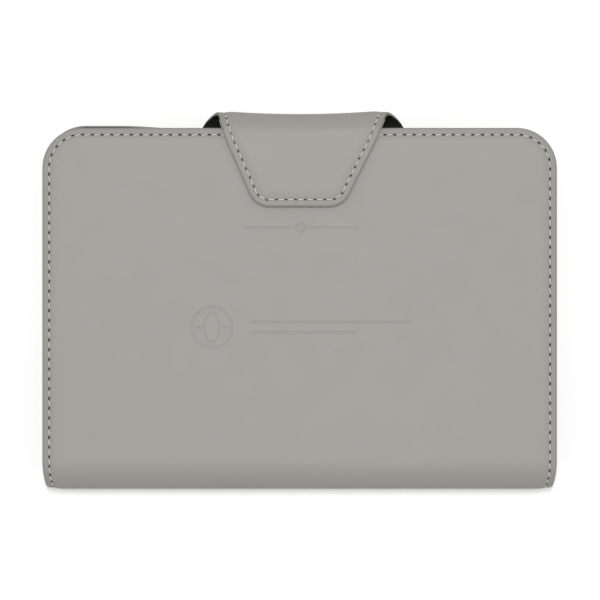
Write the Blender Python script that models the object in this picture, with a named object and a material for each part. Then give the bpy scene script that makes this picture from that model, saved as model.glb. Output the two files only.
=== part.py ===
"""Passport holder wallet, closed and lying on its back cover.

+X runs along the spine, +Y from the spine to the opening edge where the strap comes over, +Z up through
the closed stack. Z = 0 is the padded face of the back cover. Lengths are in millimetres until the end.
"""

import math

import bmesh
import bpy
from mathutils import Matrix, Vector

MM = 0.001

# ---- driving dimensions, mm ----
WIDTH = 148.0  # along the spine
DEPTH = 103.6  # spine to opening edge
THICK = 16.0  # outside of one cover to outside of the other
STRAP_OUT = 4.5  # how far the strap's loop stands past the opening edge
CORNER_R = 11.5  # the two corners at the opening edge

SEAM = 0.3  # gap between two pieces that meet end to end
PLY_GAP = 0.1  # gap between two plies lying on each other

SKIN = 0.9  # leather of the covers
PAD_RISE = 0.4  # padded middle above the stitched border
RIM_W = 2.6  # solid turned edge, from the outline inwards
RIM_DEEP = 2.2  # turned edge, measured down from the border
EDGE_R = 0.6  # rounding of the turned edge
STITCH_IN = 1.5  # border before the stitch groove
GROOVE = 0.25  # depth of the stitch groove
GROOVE_SIDE = 0.35  # width of each side of the groove
PAD_SLOPE = 1.5  # where the padding comes up to its full height

FOAM = 0.45
BOARD = 0.9
BOARD_PLAY = 0.3  # board and foam inside the turned edge
LINING = 0.5
LINING_IN = 0.4  # lining inside the outline

SPINE_CUTS = (0.0, 30.0, 90.0, 150.0, 180.0)  # spine strips, degrees round from the back cover
SPINE_BORDER_DROP = 0.5  # stitched ends of the spine under its padded middle
SPINE_SKIN = 1.1
SPINE_LINING = 0.5
STEP_DEG = 6.0  # one facet of the spine's round

POCKET_GAP = 5.3  # height of the passport pocket
POCKET_PANEL = 0.6
POCKET_REACH = 62.0  # depth of the pocket panel from the opening edge
POCKET_IN = 2.6  # pocket edges inside the outline
GUSSET = 1.6  # wall of the pocket's gusset
NOTCH_R = 11.0  # thumb notch in the pocket's mouth
SLIP_REACH = 74.0  # long slip pocket on the front cover's inside
CARD_W = 98.0  # card slot panels
CARD_REACH = (60.0, 48.0, 36.0)
CARD_PLY = 0.5
CARD_GAP = 0.3

STRAP_SKIN = 0.8
STRAP_LINING = 0.6
TAB_CORE = 0.8
TAB_LIFT = 0.3  # tab above the front cover
TONGUE = 0.95  # strap thinned where it goes into the edge seam
TONGUE_IN = 10.0
BASE_HALF, CREST_HALF, FOLD_HALF = 29.0, 25.1, 22.9  # half widths of the strap
BASE_X, CREST_X, FOLD_X, TIP_X = 0.9, 1.0, 0.5, -0.15  # its middle, a little askew
TIP_HALF = 12.7
TAB_LONG = 22.8  # reach of the tab from the opening edge
TIP_R = 3.8
TIP_IN = 0.35  # leather of the tab inside its lining's outline
FOLD_IN = 1.0  # fold line inside the opening edge
BASE_OUT = 0.3  # strap's start outside the opening edge
MAGNET_R = 6.2
MAGNET_IN = 13.0  # magnet centre from the opening edge
FRONT_MAGNET_R = 7.0
MAGNET_PLAY = 0.4

# ---- positions that follow ----
Y_SPINE = -(DEPTH + STRAP_OUT) / 2
Y_EDGE = Y_SPINE + DEPTH
R_SPINE = THICK / 2
Y_AXIS = Y_SPINE + R_SPINE
Z_AXIS = R_SPINE
HALF = WIDTH / 2
TAB_TOP = THICK + TAB_LIFT + STRAP_LINING + TAB_CORE + STRAP_SKIN + 2 * PLY_GAP
STRAP_LOW = 1.3  # underside of the strap where it starts
STRAP_MID = (STRAP_LOW + TAB_TOP) / 2
STRAP_B = (TAB_TOP - STRAP_LOW) / 2
Y_FOLD = Y_EDGE - FOLD_IN

LEATHER = ("wallet_leather", (0.36, 0.355, 0.335, 1), 0.55, 0.0)
LINING_CLOTH = ("lining_cloth", (0.055, 0.055, 0.052, 1), 0.85, 0.0)
STRAP_BACK = ("strap_lining", (0.05, 0.05, 0.045, 1), 0.7, 0.0)
CARD_LEATHER = ("pocket_leather", (0.33, 0.325, 0.31, 1), 0.6, 0.0)
PAPERBOARD = ("stiffener_board", (0.42, 0.34, 0.24, 1), 0.9, 0.0)
SOFT_FOAM = ("padding_foam", (0.75, 0.75, 0.72, 1), 0.95, 0.0)
PLASTIC = ("tab_core_plastic", (0.12, 0.12, 0.12, 1), 0.6, 0.0)
STEEL = ("magnet_metal", (0.6, 0.6, 0.6, 1), 0.3, 1.0)

for old in list(bpy.data.objects):
    bpy.data.objects.remove(old, do_unlink=True)

wallet = bpy.data.collections.new("passport_holder_wallet")
cutters = bpy.data.collections.new("cutters")
bpy.context.scene.collection.children.link(wallet)
bpy.context.scene.collection.children.link(cutters)


# ---- helpers ----
def material(spec):
    name, colour, roughness, metallic = spec
    made = bpy.data.materials.get(name)
    if made:
        return made
    made = bpy.data.materials.new(name)
    made.use_nodes = True
    shader = made.node_tree.nodes["Principled BSDF"]
    shader.inputs["Base Color"].default_value = colour
    shader.inputs["Roughness"].default_value = roughness
    shader.inputs["Metallic"].default_value = metallic
    made.diffuse_color = colour
    return made


def finish(name, bm, spec, origin=(0.0, 0.0, 0.0), cutter=False, smooth=True):
    """An object from a bmesh in millimetres, with its origin at the given point."""
    bmesh.ops.recalc_face_normals(bm, faces=bm.faces)
    bmesh.ops.translate(bm, verts=bm.verts, vec=-Vector(origin))
    bmesh.ops.scale(bm, verts=bm.verts, vec=(MM, MM, MM))
    mesh = bpy.data.meshes.new(name)
    bm.to_mesh(mesh)
    bm.free()
    made = bpy.data.objects.new(name, mesh)
    made.location = Vector(origin) * MM
    if cutter:
        cutters.objects.link(made)
        made.hide_render = True
        made.display_type = "WIRE"
        return made
    wallet.objects.link(made)
    mesh.materials.append(material(spec))
    if smooth:
        mesh.shade_smooth()
        mesh.set_sharp_from_angle(angle=math.radians(30))
    return made


def cut(target, tool):
    modifier = target.modifiers.new("cut_" + tool.name, "BOOLEAN")
    modifier.operation = "DIFFERENCE"
    modifier.solver = "EXACT"
    modifier.object = tool


def box(low, high):
    bm = bmesh.new()
    bmesh.ops.create_cube(bm, size=1.0)
    low, high = Vector(low), Vector(high)
    bmesh.ops.scale(bm, verts=bm.verts, vec=high - low)
    bmesh.ops.translate(bm, verts=bm.verts, vec=(low + high) / 2)
    return bm


def disc(radius, centre, height):
    bm = bmesh.new()
    bmesh.ops.create_cone(
        bm, cap_ends=True, segments=40, radius1=radius, radius2=radius, depth=height
    )
    bmesh.ops.translate(bm, verts=bm.verts, vec=centre)
    return bm


def upright_edges(bm, y_from):
    """Vertical edges at or beyond a Y position."""
    return [
        e
        for e in bm.edges
        if abs(e.verts[0].co.z - e.verts[1].co.z) > 1e-6
        and abs(e.verts[0].co.y - e.verts[1].co.y) < 1e-6
        and e.verts[0].co.y > y_from
    ]


def round_corners(bm, edges, radius, segments):
    bmesh.ops.bevel(
        bm, geom=edges, offset=radius, segments=segments, profile=0.5, affect="EDGES", material=-1
    )


def plate(half_x, y_low, y_high, z_low, z_high, radius=0.0, segments=8):
    """A flat ply with both corners at its +Y end rounded."""
    bm = box((-half_x, y_low, z_low), (half_x, y_high, z_high))
    if radius:
        round_corners(bm, upright_edges(bm, y_high - 1e-3), radius, segments)
    return bm


def flat_face(bm, z):
    """The largest face at this height."""
    level = [f for f in bm.faces if abs(f.calc_center_median().z - z) < 1e-4 and abs(f.normal.z) > 0.99]
    return max(level, key=lambda f: f.calc_area())


def cover_skin():
    """One cover's leather with its outer face up, the stitched border at z = 0: a shallow tray whose rim is
    the turned edge, open on the spine side."""
    bm = plate(HALF, Y_AXIS - 4 * RIM_W, Y_EDGE, -RIM_DEEP, 0.0, CORNER_R)
    bm.normal_update()
    round_corners(bm, list(flat_face(bm, 0.0).edges), EDGE_R, 3)
    bm.normal_update()
    # border, two sides of the stitch groove, foot of the padding, slope up to its full height
    rises = (
        (STITCH_IN - EDGE_R, 0.0),
        (GROOVE_SIDE, -GROOVE),
        (GROOVE_SIDE, GROOVE),
        (2 * GROOVE_SIDE, PAD_RISE * 0.65),
        (PAD_SLOPE, PAD_RISE * 0.35),
    )
    level = 0.0
    for width, rise in rises:
        top = flat_face(bm, level)
        bmesh.ops.inset_region(bm, faces=[top], thickness=width, depth=rise, use_even_offset=True)
        bm.normal_update()
        level += rise
    under = flat_face(bm, -RIM_DEEP)
    bmesh.ops.inset_region(bm, faces=[under], thickness=RIM_W, depth=0.0, use_even_offset=True)
    bm.normal_update()
    under = flat_face(bm, -RIM_DEEP)
    pushed = bmesh.ops.extrude_discrete_faces(bm, faces=[under])["faces"]
    lift = RIM_DEEP + PAD_RISE - SKIN
    bmesh.ops.translate(bm, verts=list({v for f in pushed for v in f.verts}), vec=(0, 0, lift))
    geometry = bm.verts[:] + bm.edges[:] + bm.faces[:]
    at_spine = (0, Y_AXIS + SEAM / 2, 0)
    made = bmesh.ops.bisect_plane(bm, geom=geometry, plane_co=at_spine, plane_no=(0, 1, 0), clear_inner=True)
    rim = [g for g in made["geom_cut"] if isinstance(g, bmesh.types.BMEdge)]
    bmesh.ops.holes_fill(bm, edges=rim, sides=0)
    return bm


def arc_strip(low, high, profile):
    """A piece of the spine from one angle to another, in degrees: a closed outline of (x, radius) turned about
    the spine's centre line."""
    spare = SEAM / 2 / R_SPINE
    start = math.radians(low) + spare
    sweep = math.radians(high) - spare - start
    bm = bmesh.new()
    ring = [bm.verts.new((x, Y_AXIS, Z_AXIS - r)) for x, r in profile]
    edges = [bm.edges.new((a, b)) for a, b in zip(ring, ring[1:] + ring[:1])]
    centre = Vector((0, Y_AXIS, Z_AXIS))
    turn = Matrix.Rotation(-start, 3, "X")
    bmesh.ops.rotate(bm, verts=ring, cent=centre, matrix=turn)
    steps = round((high - low) / STEP_DEG)
    bmesh.ops.spin(bm, geom=ring + edges, cent=centre, axis=(-1, 0, 0), angle=sweep, steps=steps)
    bmesh.ops.holes_fill(bm, edges=[e for e in bm.edges if e.is_boundary], sides=0)
    return bm


def spine_point(degrees):
    """A point on the spine's outer face, from the back cover (0) round to the front cover (180)."""
    angle = math.radians(degrees)
    return (0.0, Y_AXIS - R_SPINE * math.sin(angle), Z_AXIS - R_SPINE * math.cos(angle))


def strap_outer(part, t):
    """The strap's outer face as (y, z) and its outward normal, t degrees round from the back cover's edge to
    the crest (lower part) or from the crest to the fold (upper part)."""
    angle = math.radians(t)
    if part == "lower":
        centre, a = Y_EDGE + BASE_OUT, STRAP_OUT - BASE_OUT
        y, z = a * math.sin(angle), -STRAP_B * math.cos(angle)
    else:
        centre, a = Y_FOLD, STRAP_OUT + FOLD_IN
        y, z = a * math.cos(angle), STRAP_B * math.sin(angle)
    normal = Vector((0, y / a**2, z / STRAP_B**2)).normalized()
    return centre + y, STRAP_MID + z, normal


def strap_bend(part, from_outer, thickness):
    """A curved ply of the strap: a flat grid laid round the bend, then given its thickness."""
    steps = 12
    bm = bmesh.new()
    bmesh.ops.create_grid(bm, x_segments=1, y_segments=steps, size=1.0)
    first, last = (0.0, 89.0) if part == "lower" else (1.0, 88.4)
    ends = ((BASE_HALF, BASE_X), (CREST_HALF, CREST_X), (FOLD_HALF, FOLD_X))
    (half_a, mid_a), (half_b, mid_b) = ends[:2] if part == "lower" else ends[1:]
    for v in bm.verts:
        along = (v.co.y + 1) / 2
        t = first + (last - first) * along
        y, z, normal = strap_outer(part, t)
        half = half_a + (half_b - half_a) * along
        mid = mid_a + (mid_b - mid_a) * along
        v.co = Vector((mid + half * v.co.x, y, z)) - normal * from_outer
    inward = -strap_outer(part, 45.0)[2]
    bm.normal_update()
    middle = min(bm.faces, key=lambda f: abs(f.calc_center_median().z - strap_outer(part, 45.0)[1]))
    if middle.normal.dot(inward) < 0:
        bmesh.ops.reverse_faces(bm, faces=bm.faces)
        bm.normal_update()
    # solidify grows against the face normals, so the sheet's normals are turned outwards first
    bmesh.ops.reverse_faces(bm, faces=bm.faces)
    bm.normal_update()
    bmesh.ops.solidify(bm, geom=bm.faces[:] + bm.edges[:] + bm.verts[:], thickness=thickness)
    return bm


def tab_ply(z_low, z_high, inset):
    """A flat ply of the tab, tapering to its rounded tip."""
    y_low, y_high = Y_EDGE - TAB_LONG + inset, Y_FOLD - SEAM / 2
    bm = box((-1, y_low, z_low), (1, y_high, z_high))
    for v in bm.verts:
        along = (Y_FOLD - v.co.y) / (Y_FOLD - Y_EDGE + TAB_LONG)
        half = FOLD_HALF + (TIP_HALF - FOLD_HALF) * along - inset
        v.co.x = FOLD_X + (TIP_X - FOLD_X) * along + half * v.co.x
    tip = [e for e in upright_edges(bm, -1e6) if e.verts[0].co.y < y_low + 1e-3]
    round_corners(bm, tip, TIP_R - inset, 6)
    return bm


# ---- back cover, z up from 0 ----
COVER_TURN = Matrix.Rotation(math.pi, 3, "Y")
back = cover_skin()
bmesh.ops.rotate(back, verts=back.verts, cent=(0, 0, 0), matrix=COVER_TURN)
bmesh.ops.translate(back, verts=back.verts, vec=(0, 0, PAD_RISE))
back_cover_skin = finish("back_cover_skin", back, LEATHER)

inner_x = HALF - RIM_W - BOARD_PLAY
inner_y = Y_EDGE - RIM_W - BOARD_PLAY
inner_r = CORNER_R - RIM_W - BOARD_PLAY
board_y = Y_AXIS + 2 * SEAM
foam_low = SKIN + PLY_GAP
board_low = foam_low + FOAM + 0.15
lining_low = PAD_RISE + RIM_DEEP + PLY_GAP
finish(
    "back_cover_foam",
    plate(inner_x, board_y, inner_y, foam_low, foam_low + FOAM, inner_r),
    SOFT_FOAM,
)
back_cover_board = finish(
    "back_cover_board",
    plate(inner_x, board_y, inner_y, board_low, board_low + BOARD, inner_r),
    PAPERBOARD,
)
finish(
    "back_cover_lining",
    plate(HALF - LINING_IN, board_y, Y_EDGE - LINING_IN, lining_low, lining_low + LINING, CORNER_R - LINING_IN),
    LINING_CLOTH,
)

# the strap's end, thinned and sewn into the edge between the turned edge and the lining
tongue_low = lining_low - PLY_GAP / 2 - 0.1 - TONGUE
tongue = box((BASE_X - BASE_HALF, Y_EDGE - TONGUE_IN, tongue_low), (BASE_X + BASE_HALF, Y_EDGE, tongue_low + TONGUE))
finish("strap_tongue", tongue, STRAP_BACK)
slot_half = BASE_HALF + SEAM
rim_slot = finish(
    "rim_slot_cutter",
    box((BASE_X - slot_half, Y_EDGE - 2 * RIM_W, tongue_low - PLY_GAP), (BASE_X + slot_half, Y_EDGE + 2, 4)),
    None,
    cutter=True,
)
cut(back_cover_skin, rim_slot)
board_slot = finish(
    "board_slot_cutter",
    box((BASE_X - slot_half, Y_EDGE - TONGUE_IN - SEAM, 0), (BASE_X + slot_half, Y_EDGE + 2, 4)),
    None,
    cutter=True,
)
cut(back_cover_board, board_slot)

# ---- passport pocket on the back cover's inside ----
pocket_low = lining_low + LINING + PLY_GAP
pocket_high = pocket_low + POCKET_GAP
pocket_x = HALF - POCKET_IN
pocket_y = Y_EDGE - POCKET_IN
mouth_y = Y_EDGE - POCKET_REACH
end_half = pocket_x - CORNER_R
for side, sign in (("left", -1), ("right", 1)):
    xs = sorted((sign * pocket_x, sign * (pocket_x - GUSSET)))
    wall = box((xs[0], mouth_y, pocket_low), (xs[1], pocket_y - CORNER_R, pocket_high))
    finish("passport_pocket_gusset_" + side, wall, CARD_LEATHER)
end_wall = box((-end_half, pocket_y - GUSSET, pocket_low), (end_half, pocket_y, pocket_high))
finish("passport_pocket_gusset_end", end_wall, CARD_LEATHER)
panel = plate(pocket_x, mouth_y, pocket_y, pocket_high + PLY_GAP, pocket_high + PLY_GAP + POCKET_PANEL, CORNER_R - POCKET_IN)
passport_pocket_panel = finish("passport_pocket_panel", panel, CARD_LEATHER)
notch = finish("thumb_notch_cutter", disc(NOTCH_R, (0, mouth_y, pocket_high), 4.0), None, cutter=True)
cut(passport_pocket_panel, notch)

# ---- spine: strips that hinge on each other at the leather's outer face; strip 1 stays with the back cover
# and strip 4 with the front cover ----
end_low = R_SPINE - SPINE_BORDER_DROP
groove_mid = STITCH_IN + GROOVE_SIDE
skin_profile = [
    (-HALF, end_low - EDGE_R / 2),
    (-HALF + EDGE_R / 2, end_low),
    (-HALF + STITCH_IN, end_low),
    (-HALF + groove_mid, end_low - GROOVE),
    (-HALF + groove_mid + GROOVE_SIDE, end_low),
    (-HALF + groove_mid + PAD_SLOPE, R_SPINE),
]
skin_profile += [(-x, r) for x, r in reversed(skin_profile)]
skin_profile += [(HALF, R_SPINE - SPINE_SKIN), (-HALF, R_SPINE - SPINE_SKIN)]
lining_r = R_SPINE - SPINE_SKIN - SEAM
lining_x = HALF - LINING_IN
lining_profile = [
    (-lining_x, lining_r),
    (lining_x, lining_r),
    (lining_x, lining_r - SPINE_LINING),
    (-lining_x, lining_r - SPINE_LINING),
]
for k, (low, high) in enumerate(zip(SPINE_CUTS, SPINE_CUTS[1:]), 1):
    finish(f"spine_skin_{k}", arc_strip(low, high, skin_profile), LEATHER, spine_point(low))
    finish(f"spine_lining_{k}", arc_strip(low, high, lining_profile), LINING_CLOTH, spine_point(low))

# ---- front cover, hinged on strip 3 with strip 4 ----
front_hinge = spine_point(SPINE_CUTS[3])
front = cover_skin()
bmesh.ops.translate(front, verts=front.verts, vec=(0, 0, THICK - PAD_RISE))
finish("front_cover_skin", front, LEATHER, front_hinge)
finish(
    "front_cover_foam",
    plate(inner_x, board_y, inner_y, THICK - foam_low - FOAM, THICK - foam_low, inner_r),
    SOFT_FOAM,
    front_hinge,
)
front_cover_board = finish(
    "front_cover_board",
    plate(inner_x, board_y, inner_y, THICK - board_low - BOARD, THICK - board_low, inner_r),
    PAPERBOARD,
    front_hinge,
)
lining_top = THICK - lining_low
finish(
    "front_cover_lining",
    plate(HALF - LINING_IN, board_y, Y_EDGE - LINING_IN, lining_top - LINING, lining_top, CORNER_R - LINING_IN),
    LINING_CLOTH,
    front_hinge,
)
magnet_y = Y_EDGE - MAGNET_IN
board_mid = THICK - board_low - BOARD / 2
magnet_hole = finish(
    "magnet_hole_cutter",
    disc(FRONT_MAGNET_R + MAGNET_PLAY, (0, magnet_y, board_mid), 3 * BOARD),
    None,
    cutter=True,
)
cut(front_cover_board, magnet_hole)
finish("front_magnet", disc(FRONT_MAGNET_R, (0, magnet_y, board_mid), BOARD), STEEL, front_hinge)

# pockets on the front cover's inside, each a little lower than the one before
ply_top = lining_top - LINING - CARD_GAP
slip = plate(
    pocket_x, Y_EDGE - SLIP_REACH, pocket_y, ply_top - CARD_PLY, ply_top, CORNER_R - POCKET_IN
)
finish("slip_pocket_panel", slip, CARD_LEATHER, front_hinge)
for k, reach in enumerate(CARD_REACH, 1):
    top = ply_top - k * (CARD_PLY + CARD_GAP)
    card = plate(CARD_W / 2, Y_EDGE - reach, pocket_y, top - CARD_PLY, top)
    finish(f"card_slot_panel_{k}", card, CARD_LEATHER, front_hinge)

# ---- strap: two curved parts and the tab, hinged on each other at the outer face ----
base_hinge = (0.0, Y_EDGE + BASE_OUT / 2, STRAP_LOW)
crest_hinge = (0.0, Y_EDGE + STRAP_OUT, STRAP_MID)
fold_hinge = (0.0, Y_FOLD, TAB_TOP)
for part, hinge in (("lower", base_hinge), ("upper", crest_hinge)):
    finish(f"strap_{part}_skin", strap_bend(part, 0.0, STRAP_SKIN), LEATHER, hinge)
    inner = STRAP_SKIN + PLY_GAP
    finish(f"strap_{part}_lining", strap_bend(part, inner, STRAP_LINING), STRAP_BACK, hinge)
tab_low = THICK + TAB_LIFT
core_low = tab_low + STRAP_LINING + PLY_GAP
finish("strap_tab_lining", tab_ply(tab_low, tab_low + STRAP_LINING, 0.0), STRAP_BACK, fold_hinge)
strap_tab_core = finish(
    "strap_tab_core", tab_ply(core_low, core_low + TAB_CORE, 2.2), PLASTIC, fold_hinge
)
core_mid = core_low + TAB_CORE / 2
core_hole = finish(
    "core_hole_cutter",
    disc(MAGNET_R + MAGNET_PLAY, (0, magnet_y, core_mid), 3 * TAB_CORE),
    None,
    cutter=True,
)
cut(strap_tab_core, core_hole)
finish("strap_tab_magnet", disc(MAGNET_R, (0, magnet_y, core_mid), TAB_CORE), STEEL, fold_hinge)
finish("strap_tab_skin", tab_ply(TAB_TOP - STRAP_SKIN, TAB_TOP, TIP_IN), LEATHER, fold_hinge)
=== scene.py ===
# %% [markdown]
# # A passport holder wallet
# The wallet is one rounded panel of padded grey imitation leather, folded round a soft spine, with a strap that
# comes over the opening edge and shuts on a hidden magnet. This file dresses the solid parts that were made for
# size and motion: it cuts every ply flat, the way a maker does, and then lays it along the wallet's side view.

# %% Load the solid parts
import bisect
import math
import random

import bmesh
import bpy
from mathutils import Matrix, Vector
from mathutils.geometry import interpolate_bezier
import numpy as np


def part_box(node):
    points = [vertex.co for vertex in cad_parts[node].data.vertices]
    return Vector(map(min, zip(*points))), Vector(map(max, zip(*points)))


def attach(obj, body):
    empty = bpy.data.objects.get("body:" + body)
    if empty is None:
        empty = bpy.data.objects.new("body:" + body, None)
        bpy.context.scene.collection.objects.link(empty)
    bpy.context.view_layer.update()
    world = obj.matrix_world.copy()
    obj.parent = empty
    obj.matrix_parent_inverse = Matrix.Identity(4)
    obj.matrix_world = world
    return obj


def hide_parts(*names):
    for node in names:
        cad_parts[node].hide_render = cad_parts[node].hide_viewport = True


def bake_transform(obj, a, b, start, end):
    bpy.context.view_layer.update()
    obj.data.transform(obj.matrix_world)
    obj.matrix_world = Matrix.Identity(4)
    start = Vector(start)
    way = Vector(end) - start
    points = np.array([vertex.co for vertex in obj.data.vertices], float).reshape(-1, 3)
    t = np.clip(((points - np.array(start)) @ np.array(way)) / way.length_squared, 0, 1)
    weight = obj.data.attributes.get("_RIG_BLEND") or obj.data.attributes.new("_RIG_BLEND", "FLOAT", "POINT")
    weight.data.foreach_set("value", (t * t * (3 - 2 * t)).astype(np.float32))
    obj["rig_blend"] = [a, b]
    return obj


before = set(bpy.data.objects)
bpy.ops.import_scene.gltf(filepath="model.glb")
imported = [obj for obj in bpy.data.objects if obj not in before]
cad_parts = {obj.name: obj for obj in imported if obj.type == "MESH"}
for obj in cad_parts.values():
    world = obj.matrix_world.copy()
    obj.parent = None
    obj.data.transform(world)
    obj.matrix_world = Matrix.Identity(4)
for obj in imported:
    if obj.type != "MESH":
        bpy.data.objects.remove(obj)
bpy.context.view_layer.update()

# %% [markdown]
# ## Sizes
# Every position comes from the solid parts, so that the dressed wallet and the moving one agree. Lengths here are
# in millimetres, because leatherwork is, and each finished piece is brought to metres at the end.

# %% Sizes read from the solid parts
MM = 0.001


def box_mm(node):
    low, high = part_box(node)
    return low / MM, high / MM


front_low, front_high = box_mm("front_cover_skin")
HALF = front_high.x
EDGE_Y = front_high.y
THICK = front_high.z
SPINE_R = THICK / 2
AXIS_Y = round(box_mm("spine_skin_2")[0].y, 2) + SPINE_R
CORNER_R = 11.5
PAD_RISE = 0.4
RIM_DEEP = 2.2
RIM_W = 2.6
SKIN = 0.9
STITCH_IN = 2.0
PITCH = 2.8
PEEP = 1.3
PEEP_LINES = [-30 - 4 * k for k in range(8)]
DRAWN_IN = 0.011
print(f"covers {2 * HALF:.1f} x {EDGE_Y - AXIS_Y + SPINE_R:.1f} x {THICK:.1f} mm, spine centre at y {AXIS_Y:.2f}")

# %% [markdown]
# ## Laying a flat ply along a course
# A sheet of leather bends but hardly stretches. So each ply is made flat, with x across, y along it and z through
# its thickness, and then laid along a course: a line of (y, z) points in the side view. A vertex keeps its distance
# along the course and its height off it, which is just what bending a real sheet does.


# %% A course in the side view
class Course:
    """A line of (y, z) points. side is +1 where the outer face is on the left of the line, and -1 on its right."""

    def __init__(self, points, side=1):
        self.points = [Vector(p) for p in points]
        self.stations = [0.0]
        for a, b in zip(self.points, self.points[1:]):
            self.stations.append(self.stations[-1] + (b - a).length)
        self.normals = []
        last = len(points) - 1
        for i in range(len(points)):
            run = (self.points[min(i + 1, last)] - self.points[max(i - 1, 0)]).normalized()
            self.normals.append(Vector((-run.y, run.x)) * side)

    @property
    def length(self):
        return self.stations[-1]

    def place(self, s, h=0.0):
        """The (y, z) point at a distance along the course and a height off it."""
        i = bisect.bisect_right(self.stations, s) - 1
        i = max(0, min(i, len(self.points) - 2))
        share = (s - self.stations[i]) / (self.stations[i + 1] - self.stations[i])
        point = self.points[i].lerp(self.points[i + 1], share)
        share = max(0.0, min(1.0, share))
        return point + self.normals[i].lerp(self.normals[i + 1], share).normalized() * h

    def place3(self, s, h=0.0):
        y, z = self.place(s, h)
        return Vector((0.0, y, z))


def round_spine(radius, start, end, step=2.0, bulge=0.0):
    """Points on the spine's round, from one angle to another: 0 at the back cover, 180 at the front cover."""
    count = round((end - start) / step)
    angles = [math.radians(start + (end - start) * k / count) for k in range(count + 1)]
    return [(AXIS_Y - (radius + bulge) * math.sin(a), SPINE_R - radius * math.cos(a)) for a in angles]


SPINE_BULGE = 0.6
wrap = Course([(EDGE_Y, 0.0)] + round_spine(SPINE_R, 0, 180, bulge=SPINE_BULGE) + [(EDGE_Y, THICK)])
COVER_LONG = EDGE_Y - AXIS_Y
SPINE_LONG = wrap.length - 2 * COVER_LONG
print(f"the outer wrap is cut {2 * HALF:.1f} x {wrap.length:.1f} mm")

# %% [markdown]
# ## Cutting and shaping a flat ply
# A ply starts as one face of a few corners. It is extruded to its thickness, its corners and its upper edge are
# rounded with bevels, and rings are inset from the outline: a border, a groove for the thread, and the slope of the
# padding. Insetting follows the outline by itself, so the stitched border runs evenly round each corner.


# %% Helpers that cut a ply
def bevel(bm, edges, radius, segments):
    bmesh.ops.bevel(bm, geom=edges, offset=radius, segments=segments, profile=0.5, affect="EDGES", material=-1)


def ply(corners, radii, bottom, top, segments=16):
    """A flat ply from its corners, each rounded by its radius."""
    bm = bmesh.new()
    face = bm.faces.new([bm.verts.new((x, s, bottom)) for x, s in corners])
    raised = bmesh.ops.extrude_face_region(bm, geom=[face])["geom"]
    upper = [g for g in raised if isinstance(g, bmesh.types.BMVert)]
    bmesh.ops.translate(bm, verts=upper, vec=(0, 0, top - bottom))
    for (x, s), radius in zip(corners, radii):
        if radius:
            upright = [e for e in bm.edges if all((v.co.xy - Vector((x, s))).length < 1e-4 for v in e.verts)]
            bevel(bm, upright, radius, segments)
    bmesh.ops.recalc_face_normals(bm, faces=bm.faces)
    return bm


def oblong(low, high):
    """The four corners of an upright rectangle, from its lower left."""
    return [(low[0], low[1]), (high[0], low[1]), (high[0], high[1]), (low[0], high[1])]


def widest(bm, level, up=1):
    """The largest face at a height, facing up or down."""
    bm.normal_update()
    level_faces = [
        f for f in bm.faces if f.normal.z * up > 0.99 and abs(f.calc_center_median().z - level) < 1e-3
    ]
    return max(level_faces, key=lambda f: f.calc_area())


def round_rim(bm, level, radius, up=1, segments=4):
    bevel(bm, list(widest(bm, level, up).edges), radius, segments)


def rings(bm, level, steps, up=1):
    """Insets ring after ring from the outline. Each step is its width and how far it rises off the face."""
    for width, rise in steps:
        face = widest(bm, level, up)
        bmesh.ops.inset_region(bm, faces=[face], thickness=width, depth=rise, use_even_offset=True)
        level += rise * up
    return level


def cut_across(bm, stations, along=(0, 1, 0)):
    """Edges across the ply, so that it can bend there. Stations run along the ply unless it is told otherwise."""
    for s in stations:
        geometry = bm.verts[:] + bm.edges[:] + bm.faces[:]
        bmesh.ops.bisect_plane(bm, geom=geometry, dist=1e-5, plane_co=Vector(along) * s, plane_no=along)


def section(bm, low, high):
    """A closed copy of the ply between two stations."""
    part = bm.copy()
    for s, keep_above in ((low, True), (high, False)):
        if s is None:
            continue
        made = bmesh.ops.bisect_plane(
            part,
            geom=part.verts[:] + part.edges[:] + part.faces[:],
            dist=1e-5,
            plane_co=(0, s, 0),
            plane_no=(0, 1, 0),
            clear_inner=keep_above,
            clear_outer=not keep_above,
        )
        rim = [g for g in made["geom_cut"] if isinstance(g, bmesh.types.BMEdge)]
        bmesh.ops.holes_fill(part, edges=rim, sides=0)
    return part


def mesh_from(bm, name):
    mesh = bpy.data.meshes.new(name)
    bm.to_mesh(mesh)
    bm.free()
    return mesh


def carve(bm, tool):
    """Takes the tool's shapes out of a ply. Faces that the tool leaves take the second material, the near-black
    painted shade of the holes.
    """
    made = []
    for source, mark in ((bm, 0), (tool, 1)):
        for face in source.faces:
            face.material_index = mark
        bmesh.ops.recalc_face_normals(source, faces=source.faces)
        mesh = mesh_from(source, "carving")
        mesh.materials.append(bpy.data.materials["cover_leather"])
        mesh.materials.append(bpy.data.materials["painted_hole_shade"])
        made.append(bpy.data.objects.new("carving", mesh))
        bpy.context.scene.collection.objects.link(made[-1])
    target, cutter = made
    modifier = target.modifiers.new("carve", "BOOLEAN")
    modifier.operation = "DIFFERENCE"
    modifier.solver = "EXACT"
    modifier.object = cutter
    carved = bmesh.new()
    carved.from_object(target, bpy.context.evaluated_depsgraph_get())
    for spent in made:
        mesh = spent.data
        bpy.data.objects.remove(spent, do_unlink=True)
        bpy.data.meshes.remove(mesh)
    return carved


def eased(value, low, high):
    """0 below low, 1 above high, and a smooth step between."""
    share = max(0.0, min(1.0, (value - low) / (high - low)))
    return share * share * (3 - 2 * share)


def mark_edge_distance(bm, outline):
    """Stores on each vertex how far it is from the ply's outline, in millimetres, for the materials to read."""
    layer = bm.verts.layers.float.get("edge_mm") or bm.verts.layers.float.new("edge_mm")
    ring = [Vector(p) for p in outline]
    sides = list(zip(ring, ring[1:] + ring[:1]))
    for v in bm.verts:
        flat = v.co.xy
        nearest = 1e9
        for a, b in sides:
            run = b - a
            share = max(0.0, min(1.0, (flat - a).dot(run) / run.length_squared))
            nearest = min(nearest, (flat - a - run * share).length_squared)
        v[layer] = math.sqrt(nearest)


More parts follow.
